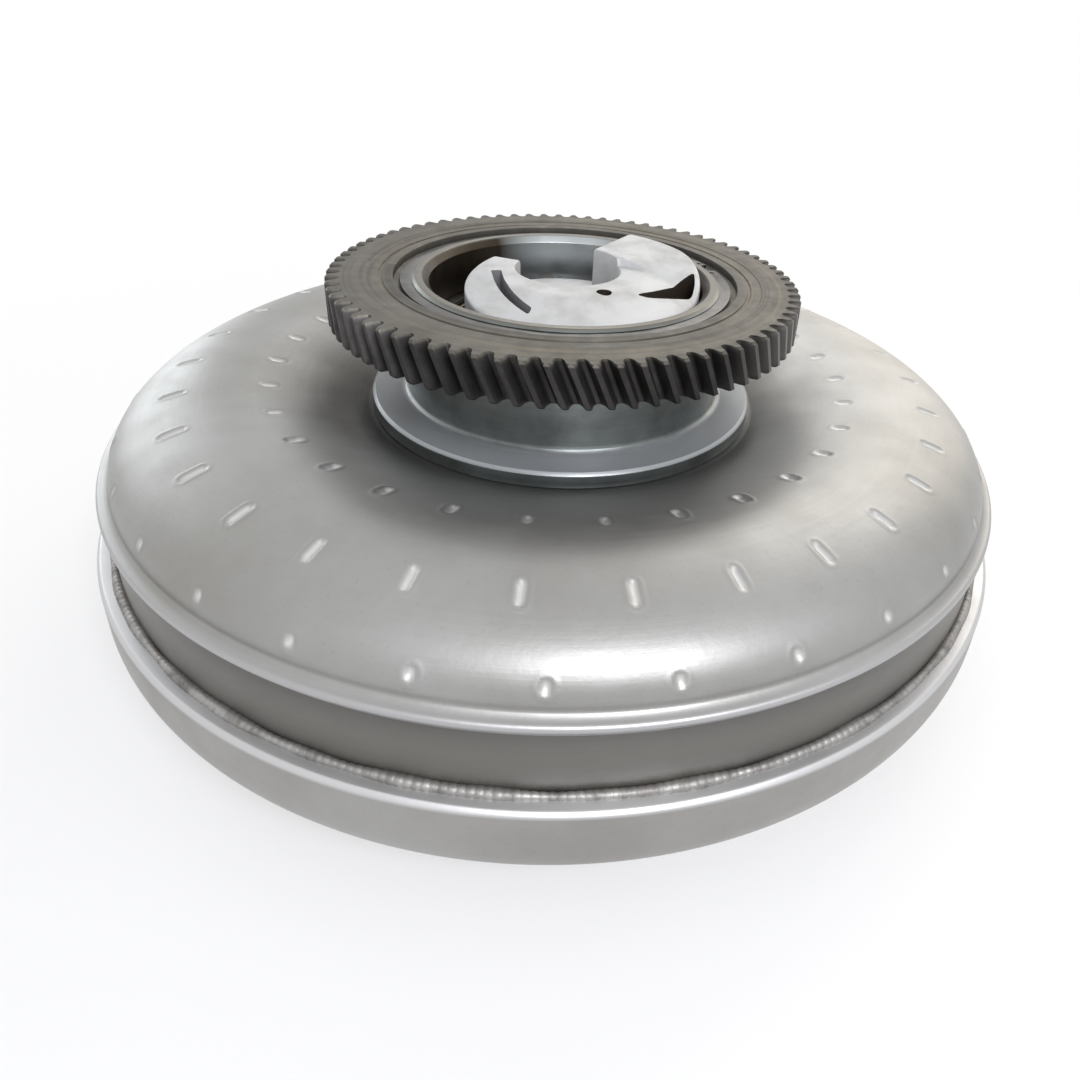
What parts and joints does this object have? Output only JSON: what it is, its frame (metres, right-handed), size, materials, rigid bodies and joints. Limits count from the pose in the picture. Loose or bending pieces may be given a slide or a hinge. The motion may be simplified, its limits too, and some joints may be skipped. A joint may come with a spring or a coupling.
{
  "type": "torque converter",
  "caption": "Domed steel torque converter casing with dimpled impeller shell, rim ring and seam band, and a helical drive gear on the hub around a ported stator support.",
  "frame": {"origin": "middle of the pilot's face, on the axis of rotation, at the bottom", "axes": "+Z along the axis of rotation, from the engine side up to the gearbox side; +X towards one cover lug; +Y towards the support plate's open back"},
  "size_m": [0.37, 0.37, 0.1468],
  "materials": {
    "shell_paint": "satin",
    "machined_steel": "machined",
    "gear_steel": "hardened, dark",
    "spring_steel": "dark satin",
    "bearing_steel": "ground",
    "pressed_steel": "pressed sheet",
    "cast_aluminium": "satin",
    "bronze": "machined"
  },
  "bodies": {
    "casing": {"front_cover": "shell_paint", "impeller_shell": "shell_paint", "impeller_blade_wheel": "pressed_steel", "impeller_hub": "machined_steel", "drive_gear": "gear_steel", "gear_retaining_ring": "spring_steel", "bearing_outer_ring": "bearing_steel", "bearing_retaining_ring": "spring_steel", "pilot_boss": "machined_steel", "pilot_bush": "bronze", "turbine_thrust_washer": "bronze", "thrust_bearing_upper": "bearing_steel", "drain_plug_1": "machined_steel", "drain_plug_2": "machined_steel", "balance_weight": "machined_steel", "mounting_lug_1": "machined_steel", "mounting_lug_2": "machined_steel", "mounting_lug_3": "machined_steel", "mounting_lug_4": "machined_steel", "mounting_lug_5": "machined_steel", "mounting_lug_6": "machined_steel"},
    "support": {"support_flange": "cast_aluminium", "support_sleeve": "machined_steel", "clutch_inner_race": "bearing_steel", "bearing_inner_ring": "bearing_steel", "sleeve_seal_ring": "spring_steel"},
    "cage": {"bearing_cage_with_balls": "bearing_steel"},
    "stator": {"stator_wheel": "cast_aluminium", "clutch_outer_race": "bearing_steel", "stator_side_plate_lower": "bronze", "stator_side_plate_upper": "bronze", "clutch_spring_1": "spring_steel", "clutch_spring_2": "spring_steel", "clutch_spring_3": "spring_steel", "clutch_spring_4": "spring_steel", "clutch_spring_5": "spring_steel", "clutch_spring_6": "spring_steel", "clutch_spring_7": "spring_steel", "clutch_spring_8": "spring_steel"},
    "rollers": {"clutch_roller_1": "bearing_steel", "clutch_roller_2": "bearing_steel", "clutch_roller_3": "bearing_steel", "clutch_roller_4": "bearing_steel", "clutch_roller_5": "bearing_steel", "clutch_roller_6": "bearing_steel", "clutch_roller_7": "bearing_steel", "clutch_roller_8": "bearing_steel"},
    "turbine": {"turbine_shell": "pressed_steel", "turbine_blade_wheel": "pressed_steel", "turbine_hub": "machined_steel", "thrust_bearing_lower": "bearing_steel", "turbine_rivet_1": "machined_steel", "turbine_rivet_2": "machined_steel", "turbine_rivet_3": "machined_steel", "turbine_rivet_4": "machined_steel", "turbine_rivet_5": "machined_steel", "turbine_rivet_6": "machined_steel"}
  },
  "joints": [
    {"name": "support_spin", "type": "hinge", "parent": "casing", "child": "support", "pos_m": [0, 0, 0], "axis": [0, 0, 1], "continuous": true},
    {"name": "turbine_spin", "type": "hinge", "parent": "casing", "child": "turbine", "pos_m": [0, 0, 0], "axis": [0, 0, 1], "continuous": true},
    {"name": "stator_spin", "type": "hinge", "parent": "support", "child": "stator", "pos_m": [0, 0, 0], "axis": [0, 0, 1], "continuous": true},
    {"name": "roller_shift", "type": "hinge", "parent": "stator", "child": "rollers", "pos_m": [0, 0, 0], "axis": [0, 0, 1], "range_deg": [-3, 0], "deforming": ["clutch_spring_1", "clutch_spring_2", "clutch_spring_3", "clutch_spring_4", "clutch_spring_5", "clutch_spring_6", "clutch_spring_7", "clutch_spring_8"]},
    {"name": "bearing_cage_spin", "type": "hinge", "parent": "casing", "child": "cage", "pos_m": [0, 0, 0], "axis": [0, 0, 1], "continuous": true}
  ],
  "couplings": [
    {"joint": "bearing_cage_spin", "follows": "support_spin", "ratio": 0.44737}
  ]
}
